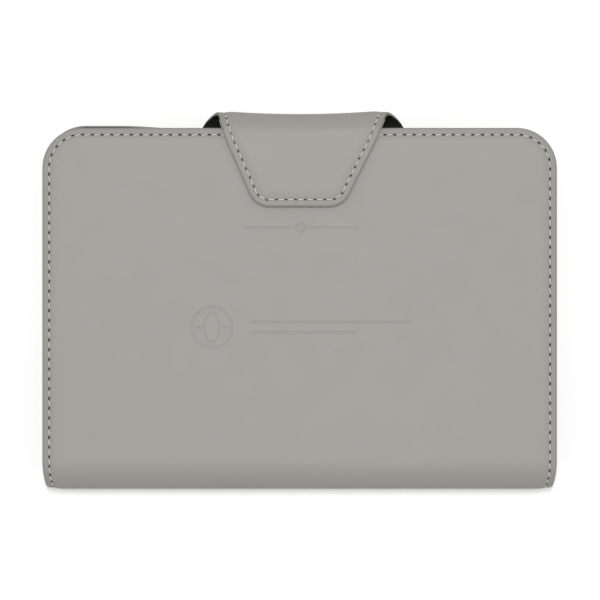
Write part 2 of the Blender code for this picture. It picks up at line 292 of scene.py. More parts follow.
def lay(bm, course, drawn_in=0.0):
    """Lays a flat ply along a course. drawn_in narrows it round the spine, where the ends are pulled in."""
    for v in bm.verts:
        x, s, h = v.co
        y, z = course.place(s, h)
        round_share = max(0.0, (AXIS_Y - y) / SPINE_R)
        v.co = (x * (1 - drawn_in * round_share**2), y, z)
    return bm


def lay_part(bm, course, name):
    """Lays one part of the wrap or its lining. The back cover lies a hair askew, so its edge peeps out past the
    front cover at one end of the opening."""
    lay(bm, course, DRAWN_IN)
    if name == "back_cover":
        for v in bm.verts:
            v.co.y += PEEP * eased(-v.co.x, 27, 52) * eased(v.co.y, 5, 47)
    return bm


# %% Helpers that finish a piece
def piece(name, bm, materials, sharp=32.0):
    """An object in metres from a bmesh in millimetres, with its place in its mesh."""
    bmesh.ops.recalc_face_normals(bm, faces=bm.faces)
    bmesh.ops.scale(bm, verts=bm.verts, vec=(MM, MM, MM))
    open_edges = sum(not e.is_manifold for e in bm.edges)
    mesh = mesh_from(bm, name)
    for material in materials:
        mesh.materials.append(material)
    mesh.shade_smooth()
    mesh.set_sharp_from_angle(angle=math.radians(sharp))
    made = bpy.data.objects.new(name, mesh)
    bpy.context.scene.collection.objects.link(made)
    print(f"{name}: {len(mesh.polygons)} faces, {open_edges} open edges")
    return made


def bend_with(made, course, zone, bodies, h, margin=0.7):
    """The piece follows the first body before the zone and the second after it, and bends between."""
    low, high = zone
    start, end = course.place3(low + margin, h) * MM, course.place3(high - margin, h) * MM
    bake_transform(made, *bodies, start=start, end=end)


# %% [markdown]
# ## Node groups for the finishes
# Several of the wallet's materials share an effect: a fine grain, cloudy handling marks, a shade along the stitched
# border. Each effect is built once as a node group that gives out masks and heights, and each material uses it with
# its own values.


# %% Node helpers
def group_of(name, inputs, outputs):
    group = bpy.data.node_groups.new(name, "ShaderNodeTree")
    for label, value in inputs:
        group.interface.new_socket(label, in_out="INPUT", socket_type="NodeSocketFloat").default_value = value
    for label in outputs:
        group.interface.new_socket(label, in_out="OUTPUT", socket_type="NodeSocketFloat")
    return group, group.nodes.new("NodeGroupInput"), group.nodes.new("NodeGroupOutput")


def add(tree, kind, links=None, **values):
    """A node with its properties set and its inputs given: a value, or another node's output to link."""
    made = tree.nodes.new("ShaderNode" + kind)
    for label, value in values.items():
        setattr(made, label, value)
    for label, value in (links or {}).items():
        socket = made.inputs[label]
        if isinstance(value, bpy.types.NodeSocket):
            tree.links.new(value, socket)
        else:
            socket.default_value = value
    return made


def maths(tree, operation, a, b=0.0, c=0.0):
    made = add(tree, "Math", {0: a, 1: b, 2: c}, operation=operation)
    return made.outputs[0]


def fade_out(tree, value, start, end):
    """1 where the value is below start, falling smoothly to 0 at end."""
    limits = {"Value": value, "From Min": start, "From Max": end, "To Min": 1.0, "To Max": 0.0}
    return add(tree, "MapRange", limits, interpolation_type="SMOOTHSTEP").outputs[0]


# %% The effects
def object_point(tree, group_input, label, per):
    """The piece's own coordinates, scaled so that one unit is the size given by an input, in millimetres."""
    coordinates = add(tree, "TexCoord")
    scale = maths(tree, "DIVIDE", per, group_input.outputs[label])
    scaled = add(tree, "VectorMath", {0: coordinates.outputs["Object"]}, operation="SCALE")
    tree.links.new(scale, scaled.inputs["Scale"])
    return scaled.outputs[0]


grain, start, end = group_of("fine_grain", (("Grain size", 0.5), ("Pore share", 0.35)), ("Height", "Tone"))
point = object_point(grain, start, "Grain size", 1000.0)
cells = add(grain, "TexVoronoi", {"Vector": point, "Scale": 1.0, "Randomness": 0.9}, feature="SMOOTH_F1")
cells.inputs["Smoothness"].default_value = 0.6
fuzz = add(grain, "TexNoise", {"Vector": point, "Scale": 0.45, "Detail": 3.0})
pores = maths(grain, "MULTIPLY", cells.outputs["Distance"], start.outputs["Pore share"])
height = maths(grain, "SUBTRACT", fuzz.outputs["Fac"], pores)
grain.links.new(height, end.inputs["Height"])
grain.links.new(cells.outputs["Distance"], end.inputs["Tone"])

handling, start, end = group_of("handling_marks", (("Cloud size", 60.0), ("Streak size", 9.0)), ("Cloud", "Smudge"))
cloud_point = object_point(handling, start, "Cloud size", 1000.0)
smudge_point = object_point(handling, start, "Streak size", 1000.0)
cloud = add(handling, "TexNoise", {"Vector": cloud_point, "Scale": 1.0, "Detail": 2.0, "Roughness": 0.45})
smudge = add(handling, "TexNoise", {"Vector": smudge_point, "Scale": 1.0, "Detail": 5.0, "Distortion": 0.4})
handling.links.new(cloud.outputs["Fac"], end.inputs["Cloud"])
handling.links.new(smudge.outputs["Fac"], end.inputs["Smudge"])

# Painted shade along the border: the colour is darkened on the rounded rim, on the strip outside the stitch line and
# along the stitch groove, where light falls off on the sloped, turned edge.
border, start, end = group_of("border_shade", (("Line at", STITCH_IN), ("Edge dark", 0.16)), ("Shade", "Rim shade"))
reach = add(border, "Attribute", attribute_name="edge_mm", attribute_type="GEOMETRY")
off_line = maths(border, "SUBTRACT", reach.outputs["Fac"], start.outputs["Line at"])
outside = fade_out(border, off_line, -0.15, 0.45)
near_line = maths(border, "ABSOLUTE", off_line)
line = fade_out(border, near_line, 0.1, 0.45)
rim = fade_out(border, reach.outputs["Fac"], 0.0, 0.5)
strip = maths(border, "MULTIPLY", outside, 0.45)
strip = maths(border, "MULTIPLY_ADD", rim, 0.9, strip)
strip = maths(border, "MULTIPLY_ADD", line, 0.5, strip)
shade = maths(border, "MULTIPLY", strip, start.outputs["Edge dark"])
border.links.new(maths(border, "SUBTRACT", 1.0, shade), end.inputs["Shade"])
border.links.new(rim, end.inputs["Rim shade"])

weave, start, end = group_of("plain_weave", (("Yarn", 0.35),), ("Height", "Over"))
point = object_point(weave, start, "Yarn", 1000.0 * math.pi)
parts = add(weave, "SeparateXYZ", {0: point})
over = maths(weave, "MULTIPLY", maths(weave, "SINE", parts.outputs[0]), maths(weave, "SINE", parts.outputs[1]))
fluff = add(weave, "TexNoise", {"Vector": point, "Scale": 0.6, "Detail": 3.0})
height = maths(weave, "MULTIPLY_ADD", fluff.outputs["Fac"], 0.5, maths(weave, "ABSOLUTE", over))
weave.links.new(height, end.inputs["Height"])
weave.links.new(maths(weave, "MULTIPLY_ADD", over, 0.5, 0.5), end.inputs["Over"])

fibre, start, end = group_of("pressed_fibre", (("Fibre size", 1.2),), ("Height", "Fleck"))
point = object_point(fibre, start, "Fibre size", 1000.0)
stretched = add(fibre, "Mapping", {"Vector": point, "Scale": (1.0, 3.0, 1.0), "Rotation": (0, 0, 0.5)})
hairs = add(fibre, "TexNoise", {"Vector": stretched.outputs[0], "Scale": 1.6, "Detail": 6.0, "Distortion": 1.5})
flecks = add(fibre, "TexVoronoi", {"Vector": point, "Scale": 0.8})
fibre.links.new(hairs.outputs["Fac"], end.inputs["Height"])
fibre.links.new(flecks.outputs["Distance"], end.inputs["Fleck"])
print("node groups:", [g.name for g in bpy.data.node_groups])


# %% [markdown]
# ## Materials
# The covers are smooth matte polyurethane leather: warm grey, hardly any grain, a soft wide highlight. The strap is
# the same sheet from the same roll. What tells them apart from plastic is small: faint clouds in the colour, a fine
# grain in the bump, and painted shade that darkens the border's rim, the strip outside the stitches and the groove.


# %% Material helpers
def material(name, colour, roughness, **sockets):
    made = bpy.data.materials.new(name)
    made.use_nodes = True
    made.diffuse_color = (*colour, 1)
    shader = made.node_tree.nodes["Principled BSDF"]
    shader.inputs["Base Color"].default_value = (*colour, 1)
    shader.inputs["Roughness"].default_value = roughness
    for label, value in sockets.items():
        shader.inputs[label.replace("_", " ").title().replace("Ior", "IOR")].default_value = value
    return made, made.node_tree, shader


def use(tree, group, **values):
    made = tree.nodes.new("ShaderNodeGroup")
    made.node_tree = group
    for label, value in values.items():
        made.inputs[label.replace("_", " ").capitalize()].default_value = value
    return made


def tint(tree, shader, colour, factor, spread, previous=None):
    """Base Color varied by a mask: colour times 1 - spread to 1 + spread."""
    level = add(tree, "MapRange", {"Value": factor, "To Min": 1 - spread, "To Max": 1 + spread}).outputs[0]
    if previous is not None:
        level = maths(tree, "MULTIPLY", level, previous)
    mixed = add(tree, "VectorMath", {0: colour, "Scale": level}, operation="SCALE")
    tree.links.new(mixed.outputs[0], shader.inputs["Base Color"])
    return level


def vary_roughness(tree, shader, factor, low, high):
    level = add(tree, "MapRange", {"Value": factor, "To Min": low, "To Max": high})
    tree.links.new(level.outputs[0], shader.inputs["Roughness"])


def bump(tree, shader, height, distance, strength=1.0):
    made = add(tree, "Bump", {"Height": height, "Distance": distance, "Strength": strength})
    tree.links.new(made.outputs[0], shader.inputs["Normal"])


def leather(name, colour, roughness, grain_size=0.5, depth=0.00002, edge_dark=0.16, line_at=STITCH_IN):
    """Smooth matte imitation leather with painted shade on its border: a darker rim, strip outside the stitches and
    groove.
    """
    made, tree, shader = material(name, colour, roughness, specular_ior_level=0.35)
    marks = use(tree, handling)
    pebble = use(tree, grain, Grain_size=grain_size)
    shaded = use(tree, border, Edge_dark=edge_dark, Line_at=line_at)
    level = tint(tree, shader, colour, marks.outputs["Cloud"], 0.025, shaded.outputs["Shade"])
    tint(tree, shader, colour, pebble.outputs["Tone"], 0.012, level)
    vary_roughness(tree, shader, marks.outputs["Smudge"], roughness - 0.06, roughness + 0.06)
    bump(tree, shader, pebble.outputs["Height"], depth)
    return made


# %% The wallet's materials
LINING_BLACK = (0.016, 0.016, 0.013)
RAW_EDGE = (0.36, 0.355, 0.33)
HOLE_SHADE_BLACK = (0.02, 0.02, 0.018)
CLOTH_DARK = (0.035, 0.035, 0.032)
THREAD_GREY = (0.66, 0.655, 0.63)
BOARD_BROWN = (0.42, 0.34, 0.24)
FOAM_CREAM = (0.78, 0.77, 0.72)
CORE_BLACK = (0.03, 0.03, 0.03)
NICKEL = (0.62, 0.61, 0.59)

cover_leather = leather("cover_leather", (0.319, 0.314, 0.292), 0.55)
strap_leather = leather("strap_leather", (0.319, 0.314, 0.290), 0.55, line_at=1.9)
pocket_leather = leather("pocket_leather", (0.30, 0.298, 0.275), 0.6, grain_size=0.4, line_at=1.5, edge_dark=0.1)

strap_lining, tree, shader = material("strap_lining", LINING_BLACK, 0.6, specular_ior_level=0.3)
marks, pebble = use(tree, handling), use(tree, grain, Grain_size=0.35)
tint(tree, shader, LINING_BLACK, marks.outputs["Smudge"], 0.3)
bump(tree, shader, pebble.outputs["Height"], 0.00004)

cut_edge, tree, shader = material("cut_edge", RAW_EDGE, 0.8, specular_ior_level=0.2)
fuzz = use(tree, fibre, Fibre_size=0.4)
tint(tree, shader, RAW_EDGE, fuzz.outputs["Height"], 0.2)
bump(tree, shader, fuzz.outputs["Height"], 0.00005)

# Painted shade: the walls of the needle holes and of the tongue's slot are near black, standing in for the shade deep
# inside them.
painted_hole_shade, tree, shader = material("painted_hole_shade", HOLE_SHADE_BLACK, 0.9, specular_ior_level=0.1)
fuzz = use(tree, fibre, Fibre_size=0.3)
tint(tree, shader, HOLE_SHADE_BLACK, fuzz.outputs["Height"], 0.4)

lining_cloth, tree, shader = material("lining_cloth", CLOTH_DARK, 0.85, sheen_weight=0.25)
woven, marks = use(tree, weave, Yarn=0.3), use(tree, handling)
level = tint(tree, shader, CLOTH_DARK, woven.outputs["Over"], 0.3)
tint(tree, shader, CLOTH_DARK, marks.outputs["Cloud"], 0.15, level)
bump(tree, shader, woven.outputs["Height"], 0.00006)

thread, tree, shader = material("thread", THREAD_GREY, 0.6, sheen_weight=0.15)
twist = add(tree, "Attribute", attribute_name="ply_turn", attribute_type="GEOMETRY")
turned = add(tree, "SeparateXYZ", {0: twist.outputs["Vector"]})
wave_sine = maths(tree, "MULTIPLY", maths(tree, "SINE", turned.outputs[2]), turned.outputs[0])
wave_cosine = maths(tree, "MULTIPLY", maths(tree, "COSINE", turned.outputs[2]), turned.outputs[1])
strand = maths(tree, "MULTIPLY_ADD", maths(tree, "ADD", wave_sine, wave_cosine), 0.5, 0.5)
tint(tree, shader, THREAD_GREY, strand, 0.18)
bump(tree, shader, strand, 0.00006)

paperboard, tree, shader = material("stiffener_board", BOARD_BROWN, 0.9, specular_ior_level=0.2)
pulp, marks = use(tree, fibre, Fibre_size=1.5), use(tree, handling)
level = tint(tree, shader, BOARD_BROWN, pulp.outputs["Fleck"], 0.15)
tint(tree, shader, BOARD_BROWN, pulp.outputs["Height"], 0.12, level)
bump(tree, shader, pulp.outputs["Height"], 0.00006)

soft_foam, tree, shader = material("padding_foam", FOAM_CREAM, 0.95, specular_ior_level=0.1)
bubbles = use(tree, grain, Grain_size=0.45, Pore_share=0.9)
tint(tree, shader, FOAM_CREAM, bubbles.outputs["Tone"], 0.1)
bump(tree, shader, bubbles.outputs["Height"], 0.0002)

core_plastic, tree, shader = material("core_plastic", CORE_BLACK, 0.45)
marks, speckle = use(tree, handling, Streak_size=3.0), use(tree, grain, Grain_size=0.15)
tint(tree, shader, CORE_BLACK, marks.outputs["Smudge"], 0.2)
vary_roughness(tree, shader, marks.outputs["Smudge"], 0.35, 0.55)
bump(tree, shader, speckle.outputs["Height"], 0.00001)

magnet_metal, tree, shader = material("magnet_metal", NICKEL, 0.28, metallic=1.0)
brushed = use(tree, fibre, Fibre_size=0.5)
tint(tree, shader, NICKEL, brushed.outputs["Height"], 0.08)
vary_roughness(tree, shader, brushed.outputs["Height"], 0.2, 0.4)
bump(tree, shader, brushed.outputs["Height"], 0.000005)
print("materials:", [m.name for m in bpy.data.materials])

# %% [markdown]
# ## Stitches
# The seam is a lockstitch sewn with a slanting needle: each hole leans one way across the line, and the thread
# between two holes leans the other way. One stitch and one needle hole are shaped once, and copies are set along
# the seam at an even pitch. The thread is light grey, a little proud of its groove, and dives into the holes.


# %% One stitch and one needle hole
def stitch_shape(long=2.0, radius=0.17, dive=0.4):
    """A short run of twisted thread along +y, bowed so that its ends go down into the holes."""
    bm = bmesh.new()
    bmesh.ops.create_cone(bm, cap_ends=True, segments=8, radius1=radius, radius2=radius, depth=long)
    bmesh.ops.rotate(bm, verts=bm.verts, cent=(0, 0, 0), matrix=Matrix.Rotation(math.radians(90), 3, "X"))
    runs = [e for e in bm.edges if abs(e.verts[0].co.y - e.verts[1].co.y) > long / 2]
    bmesh.ops.subdivide_edges(bm, edges=runs, cuts=6)
    turn = bm.verts.layers.float_vector.new("ply_turn")
    for v in bm.verts:
        x, y, z = v.co
        t = 2 * y / long
        angle = math.atan2(z, x)
        v[turn] = (math.cos(2 * angle), math.sin(2 * angle), 2 * math.pi * y / 0.55)
        lobe = 1 + 0.1 * math.cos(2 * angle - 2 * math.pi * y / 0.55)
        slim = lobe * math.sqrt(max(0.0, 1 - 0.8 * t**4))
        v.co = (x * slim - 0.05 * math.sin(math.pi * t), y, z * slim - dive * abs(t) ** 3)
    return mesh_from(bm, "stitch_shape")


def hole_shape(long=0.95, wide=0.46, deep=1.0):
    bm = bmesh.new()
    bmesh.ops.create_cone(bm, cap_ends=True, segments=8, radius1=0.5, radius2=0.5, depth=deep)
    bmesh.ops.scale(bm, verts=bm.verts, vec=(wide, long, 1))
    return mesh_from(bm, "hole_shape")


stitch_mesh, hole_mesh = stitch_shape(), hole_shape()
print("one stitch:", len(stitch_mesh.polygons), "faces; one hole:", len(hole_mesh.polygons), "faces")


# %% Spacing along a seam
def round_outline(half_x, low, high, radius, low_radius=None, steps=12):
    """A rounded rectangle in the flat, as (x, s) points from the left side's middle, going up and clockwise."""
    low_radius = radius if low_radius is None else low_radius
    line = [(-half_x, (low + high) / 2)]
    corners = (
        (-half_x + radius, high - radius, radius, 180),
        (half_x - radius, high - radius, radius, 90),
        (half_x - low_radius, low + low_radius, low_radius, 0),
        (-half_x + low_radius, low + low_radius, low_radius, -90),
    )
    for x, s, r, first in corners:
        for k in range(steps + 1):
            angle = math.radians(first - 90 * k / steps)
            line.append((x + r * math.cos(angle), s + r * math.sin(angle)))
    return line


def spaced(line, pitch, closed=False):
    """Points at an even pitch along a line, with the direction there: the stitches' middles."""
    course = Course(line + line[:1] if closed else line)
    count = round(course.length / pitch)
    step = course.length / count
    made = []
    for k in range(count):
        here, after = course.place((k + 0.4) * step), course.place((k + 0.6) * step)
        made.append(((here + after) / 2, (after - here).normalized(), step))
    return made


def set_along(seam, mesh, slant, shift=0.0, height=0.0, scale=1.0, jitter=None, face=1):
    """Copies of a shape along a seam, each turned from the seam's direction by slant degrees."""
    bm = bmesh.new()
    for middle, along, step in seam:
        before = len(bm.verts)
        bm.from_mesh(mesh)
        bm.verts.ensure_lookup_table()
        fresh = bm.verts[before:]
        lean = slant + (jitter.uniform(-3, 3) if jitter else 0.0)
        angle = math.atan2(along.y, along.x) - math.pi / 2 + math.radians(lean)
        spot = middle + along * step * shift
        bmesh.ops.scale(bm, verts=fresh, vec=(scale, scale, scale * face))
        bmesh.ops.rotate(bm, verts=fresh, cent=(0, 0, 0), matrix=Matrix.Rotation(angle, 3, "Z"))
        bmesh.ops.translate(bm, verts=fresh, vec=(spot.x, spot.y, height))
    return bm


LEAN_HOLE, LEAN_THREAD = -24.0, 4.0
wobble = random.Random(11)

# %% [markdown]
# ## The outer wrap
# On the real wallet one rounded panel of leather is padded, turned in at its edge and sewn all round, and it makes
# both covers and the spine. So it is cut here as one flat ply too, with its rings and its needle holes, and then
# divided into three at the spine's hinges, because each part has to follow two of the moving bodies.

# %% Cut the wrap flat
BORDER = (
    (1.05, 0.12),
    (0.35, -0.22),
    (0.35, 0.22),
    (0.35, 0.1),
    (0.5, 0.1),
    (0.8, 0.07),
    (1.3, 0.03),
    (0.6, 0.0),
)
BORDER_RISE = sum(rise for _, rise in BORDER)
border_level = -BORDER_RISE
under_level = -PAD_RISE - RIM_DEEP
corners = oblong((-HALF, 0), (HALF, wrap.length))
panel = ply(corners, [CORNER_R] * 4, under_level, border_level)
round_rim(panel, border_level, 0.6)
print(f"border at {border_level:.2f} mm, padded face at {rings(panel, border_level, BORDER):.2f} mm")
round_rim(panel, under_level, 0.3, up=-1, segments=2)
rings(panel, under_level, ((RIM_W - 0.3, 0.0),), up=-1)
pushed = bmesh.ops.extrude_discrete_faces(panel, faces=[widest(panel, under_level, -1)])["faces"]
inner = {v for f in pushed for v in f.verts}
bmesh.ops.translate(panel, verts=list(inner), vec=(0, 0, -SKIN - under_level))

# %% Blind-tooled marks on the front cover
MARK_DEEP = 0.25


def on_front(x, y):
    """Where a point of the front cover lies on the flat ply."""
    return Vector((x, wrap.length - (EDGE_Y - y), 0.0))


def tool_ring(bm, place, across, along, wide, segments=48):
    """A ring-shaped tool: an ellipse's outline, or a lozenge's with 4 segments."""
    new = bmesh.ops.create_circle(bm, cap_ends=True, segments=segments, radius=0.5)["verts"]
    bmesh.ops.transform(bm, verts=new, matrix=Matrix.Translation(place) @ Matrix.Diagonal((across, along, 1, 1)))
    face = new[0].link_faces[0]
    ring = bmesh.ops.inset_region(bm, faces=[face], thickness=wide, use_boundary=True, use_even_offset=True)["faces"]
    bmesh.ops.delete(bm, geom=[face], context="FACES_ONLY")
    raised = bmesh.ops.extrude_face_region(bm, geom=ring)["geom"]
    upper = [g for g in raised if isinstance(g, bmesh.types.BMVert)]
    lower = [v for v in {v for f in ring if f.is_valid for v in f.verts}]
    bmesh.ops.translate(bm, verts=upper, vec=(0, 0, 1.0))
    bmesh.ops.translate(bm, verts=lower, vec=(0, 0, -MARK_DEEP))


def tool_bar(bm, place, across, along):
    size = Matrix.Diagonal((across, along, 1 + MARK_DEEP, 1))
    bmesh.ops.create_cube(bm, size=1.0, matrix=Matrix.Translation(place + Vector((0, 0, (1 - MARK_DEEP) / 2))) @ size)


LOZENGE_X, LOZENGE_Y = 0.4, 20.8
GLOBE_X, GLOBE_Y = -25.2, -7.9
RULES_FROM = -14.0
tooling = bmesh.new()
tool_ring(tooling, on_front(LOZENGE_X, LOZENGE_Y), 4.4, 3.2, 0.6, segments=4)
for side in (-1, 1):
    tool_bar(tooling, on_front(LOZENGE_X + side * 9.6, LOZENGE_Y), 13.4, 0.7)
for across, along, wide in ((12.4, 12.4, 0.8), (5.0, 9.2, 0.7)):
    tool_ring(tooling, on_front(GLOBE_X, GLOBE_Y), across, along, wide)
for side in (-1, 1):
    tool_bar(tooling, on_front(GLOBE_X + side * 3.9, GLOBE_Y), 1.7, 0.7)
for rise, long in ((1.5, 46.0), (-1.5, 30.0)):
    tool_bar(tooling, on_front(RULES_FROM + long / 2, GLOBE_Y + rise), long, 0.8)
panel = carve(panel, tooling)
for face in panel.faces:
    face.material_index = 0
print(f"a globe, a lozenge and plain rules are tooled {MARK_DEEP} mm deep")

# %% Needle holes round the wrap
seam_line = round_outline(HALF - STITCH_IN, STITCH_IN, wrap.length - STITCH_IN, CORNER_R - STITCH_IN)
wrap_seam = spaced(seam_line, PITCH, closed=True)
holes = set_along(wrap_seam, hole_mesh, LEAN_HOLE, shift=0.5, height=-0.45)
# The strap's tongue goes in under the back cover's turned edge, where s is 0.
tongue_low, tongue_high = box_mm("strap_tongue")
slot_middle = (tongue_low.x + tongue_high.x) / 2
slot_size = (tongue_high.x - tongue_low.x + 0.6, 6.2, 2.5)
slot_place = Matrix.Translation((slot_middle, 2.1, -1.25 - tongue_low.z + 0.05)) @ Matrix.Diagonal((*slot_size, 1))
bmesh.ops.create_cube(holes, size=1.0, matrix=slot_place)
panel = carve(panel, holes)
print(f"{len(wrap_seam)} stitches round the wrap, pitch {wrap_seam[0][2]:.3f} mm, {len(panel.faces)} faces")

# %% Divide it at the spine's hinges and lay it round
outline = round_outline(HALF, 0, wrap.length, CORNER_R)
mark_edge_distance(panel, outline)
cut_across(panel, wrap.stations[1:-1])
cut_across(panel, PEEP_LINES, along=(1, 0, 0))
THIN = 1.1
for v in panel.verts:
    if COVER_LONG + 0.05 < v.co.y < COVER_LONG + SPINE_LONG - 0.05:
        v.co.z = max(v.co.z, -THIN)
low_cut = wrap.stations[1 + 30]
high_cut = wrap.stations[1 + 60]
spine_start, spine_end = COVER_LONG, COVER_LONG + SPINE_LONG
# each part of the wrap: name, stations it spans, the zone it bends in, the bodies it joins, the solids it stands for
wrap_parts = (
    ("back_cover", (None, low_cut), (spine_start, low_cut), ("back_cover", "spine_strip_lower")),
    ("spine", (low_cut, high_cut), (low_cut, high_cut), ("spine_strip_lower", "spine_strip_upper")),
    ("front_cover", (high_cut, None), (high_cut, spine_end), ("spine_strip_upper", "front_cover")),
)
stands_for = {
    "back_cover": ("back_cover_skin", "spine_skin_1"),
    "spine": ("spine_skin_2", "spine_skin_3"),
    "front_cover": ("front_cover_skin", "spine_skin_4"),
}
for name, (low, high), zone, bodies in wrap_parts:
    made = lay_part(section(panel, low, high), wrap, name)
    made = piece(name + "_leather", made, (cover_leather, painted_hole_shade))
    bend_with(made, wrap, zone, bodies, -0.5)
    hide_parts(*stands_for[name])
panel.free()

# %% Thread round the wrap
THREAD_H = -0.36
for name, (low, high), zone, bodies in wrap_parts:
    low, high = low or -1.0, high or wrap.length + 1
    seam = [place for place in wrap_seam if low <= place[0].y < high]
    bm = set_along(seam, stitch_mesh, LEAN_THREAD, height=THREAD_H, jitter=wobble)
    lay_part(bm, wrap, name)
    made = piece(name + "_stitches", bm, (thread,), sharp=80)
    bend_with(made, wrap, zone, bodies, -0.5)

# %% [markdown]
# ## Lining cloth
# Inside, a dark woven lining covers the boards and the turned edges. It is glued on, so it lies flat on the covers,
# steps down at the boards' ends and follows the spine's inner round. It is one strip on the real wallet, divided
# here at the same hinges as the leather. Its own stitches are the far side of the seam round the wrap.

# %% The lining's course
lining_low, lining_high = box_mm("back_cover_lining")
LINING_MID = (lining_low.z + lining_high.z) / 2
LINING_THICK = lining_high.z - lining_low.z
LINING_HALF = lining_high.x
LINING_R = AXIS_Y - box_mm("spine_lining_2")[0].y - LINING_THICK / 2
LINING_ARC = 14.0


def step_down(mirror):
    """The lining's smooth step from a board's end down to the spine's inner round."""
    first = Vector((AXIS_Y + 0.05, LINING_MID, 0))
    angle = math.radians(LINING_ARC)
    last = Vector((AXIS_Y - LINING_R * math.sin(angle), SPINE_R - LINING_R * math.cos(angle), 0))
    handles = first - Vector((0.8, 0, 0)), last + Vector((math.cos(angle), -math.sin(angle), 0)) * 0.6
    line = [(p.x, p.y) for p in interpolate_bezier(first, *handles, last, 9)]
    return [(y, THICK - z) for y, z in reversed(line)] if mirror else line


cover_end = lining_high.y
lining_points = [(cover_end, LINING_MID)] + step_down(False)
lining_points += round_spine(LINING_R, LINING_ARC, 180 - LINING_ARC)[1:-1]
lining_points += step_down(True) + [(cover_end, THICK - LINING_MID)]
lining_course = Course(lining_points)
print(f"the lining is cut {2 * LINING_HALF:.1f} x {lining_course.length:.1f} mm")

# %% Cut the lining flat, divide it and lay it in
half_thick = LINING_THICK / 2
corners = oblong((-LINING_HALF, 0), (LINING_HALF, lining_course.length))
lining_r = CORNER_R - (HALF - LINING_HALF)
cloth = ply(corners, [lining_r] * 4, -half_thick, half_thick, segments=10)
round_rim(cloth, -half_thick, 0.15, up=-1, segments=3)
rings(cloth, -half_thick, ((0.6, 0.02), (0.5, 0.0)), up=-1)
cut_across(cloth, lining_course.stations[1:-1])
cut_across(cloth, PEEP_LINES, along=(1, 0, 0))
middle_station = lining_course.length / 2
spread = LINING_R * math.radians(30)
low_cut = min(lining_course.stations, key=lambda s: abs(s - middle_station + spread))
high_cut = min(lining_course.stations, key=lambda s: abs(s - middle_station - spread))
lining_parts = (
    ("back_cover", (None, low_cut), (low_cut - 2 * spread, low_cut), ("back_cover", "spine_strip_lower")),
    ("spine", (low_cut, high_cut), (low_cut, high_cut), ("spine_strip_lower", "spine_strip_upper")),
    ("front_cover", (high_cut, None), (high_cut, high_cut + 2 * spread), ("spine_strip_upper", "front_cover")),
)
lining_for = {
    "back_cover": ("back_cover_lining", "spine_lining_1"),
    "spine": ("spine_lining_2", "spine_lining_3"),
    "front_cover": ("front_cover_lining", "spine_lining_4"),
}
inner_in = STITCH_IN - (HALF - LINING_HALF)
inner_line = round_outline(LINING_HALF - inner_in, inner_in, lining_course.length - inner_in, lining_r - inner_in)
inner_seam = spaced(inner_line, PITCH, closed=True)
linings = {}
for name, (low, high), zone, bodies in lining_parts:
    made = lay_part(section(cloth, low, high), lining_course, name)
    made = piece(name + "_lining_cloth", made, (lining_cloth,))
    bend_with(made, lining_course, zone, bodies, 0.0, margin=0.5)
    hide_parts(*lining_for[name])
    flat_long = (high or lining_course.length) - (low or 0.0)
    linings[name] = made, flat_long
    print(f"{name} lining: {2 * LINING_HALF:.1f} x {flat_long:.1f} mm flat")
    low, high = low or -1.0, high or lining_course.length + 1
    seam = [place for place in inner_seam if low <= place[0].y < high]
    bm = set_along(seam, stitch_mesh, -LEAN_THREAD, height=-half_thick - 0.06, scale=0.8, jitter=wobble, face=-1)
    lay_part(bm, lining_course, name)
    made = piece(name + "_inside_stitches", bm, (thread,), sharp=80)
    bend_with(made, lining_course, zone, bodies, 0.0, margin=0.5)
cloth.free()
# The strip at the spine is too narrow to be a sheet of its own on the real wallet. Here it stays a separate piece,
# and this loop only looks up the covers' linings.
for name, others in (("back_cover", [linings["spine"][0]]), ("front_cover", [])):
    made, flat_long = linings[name]

# %% [markdown]
# ## Strap
# The strap is cut as one long taper, leather outside and dark lining inside, with a plastic core and a magnet in the
# tab. It starts sewn into the back cover's edge, curves out round the opening edge and lies on the front cover. The
# lining is a hair wider than the leather, and its raw edge shows as a fine pale line.

# %% The strap's course
base_low, base_high = box_mm("strap_lower_skin")
crest_high = box_mm("strap_upper_skin")[1]
tab_low, tab_high = box_mm("strap_tab_lining")
START_Y, START_Z = base_low.y, base_low.z
CREST_Y, CREST_Z = base_high.y, base_high.z
TOP_Z = crest_high.z
FOLD_Y = tab_high.y + 0.15
TIP_Y = tab_low.y


def quarter(centre, across, up, first):
    """A quarter of an ellipse, every 5 degrees."""
    angles = [math.radians(first + 5 * k) for k in range(19)]
    return [(centre[0] + across * math.cos(a), centre[1] + up * math.sin(a)) for a in angles]


def shoulder(point):
    """The fold is soft: the strap starts to fall away a little before it."""
    y, z = point
    near = max(0.0, min(1.0, (y - FOLD_Y + SHOULDER) / (SHOULDER + 3)))
    return (y, z - SHOULDER_DROP * near * near * max(0.0, 1 - ((TOP_Z - z) / 6) ** 2))


SHOULDER, SHOULDER_DROP = 8.0, 0.8
lower = quarter((START_Y, CREST_Z), CREST_Y - START_Y, CREST_Z - START_Z, -90)
upper = quarter((FOLD_Y, CREST_Z), CREST_Y - FOLD_Y, TOP_Z - CREST_Z, 0)
on_tab = [(FOLD_Y - d, TOP_Z) for d in (0.7, 1.4, 2.1, 3.0, 4.0, 5.0, 6.0, 7.0, 8.0)]
strap = Course([shoulder(p) for p in lower + upper[1:] + on_tab + [(TIP_Y, TOP_Z)]], side=-1)
S_MID_LOW, S_CREST = strap.stations[10], strap.stations[18]
S_MID_HIGH, S_FOLD = strap.stations[27], strap.stations[36]
S_TIP = strap.length
print(f"the strap is cut {S_TIP:.1f} mm long from the seam, crest at {S_CREST:.1f}, fold at {S_FOLD:.1f}")

# %% Its taper, and the groove that the thread runs in
SPARE = 6.0
TIP_R = 3.8
SAG_LINES = [1.0 + 5.3 * k for k in range(-4, 5)]
# half width and middle of the strap where it leaves the seam, at its crest, at its fold and at its tip
taper = ((0.0, 30.0, 1.0), (S_CREST, 25.1, 1.0), (S_FOLD, 22.9, 0.5), (S_TIP, 12.7, -0.15))


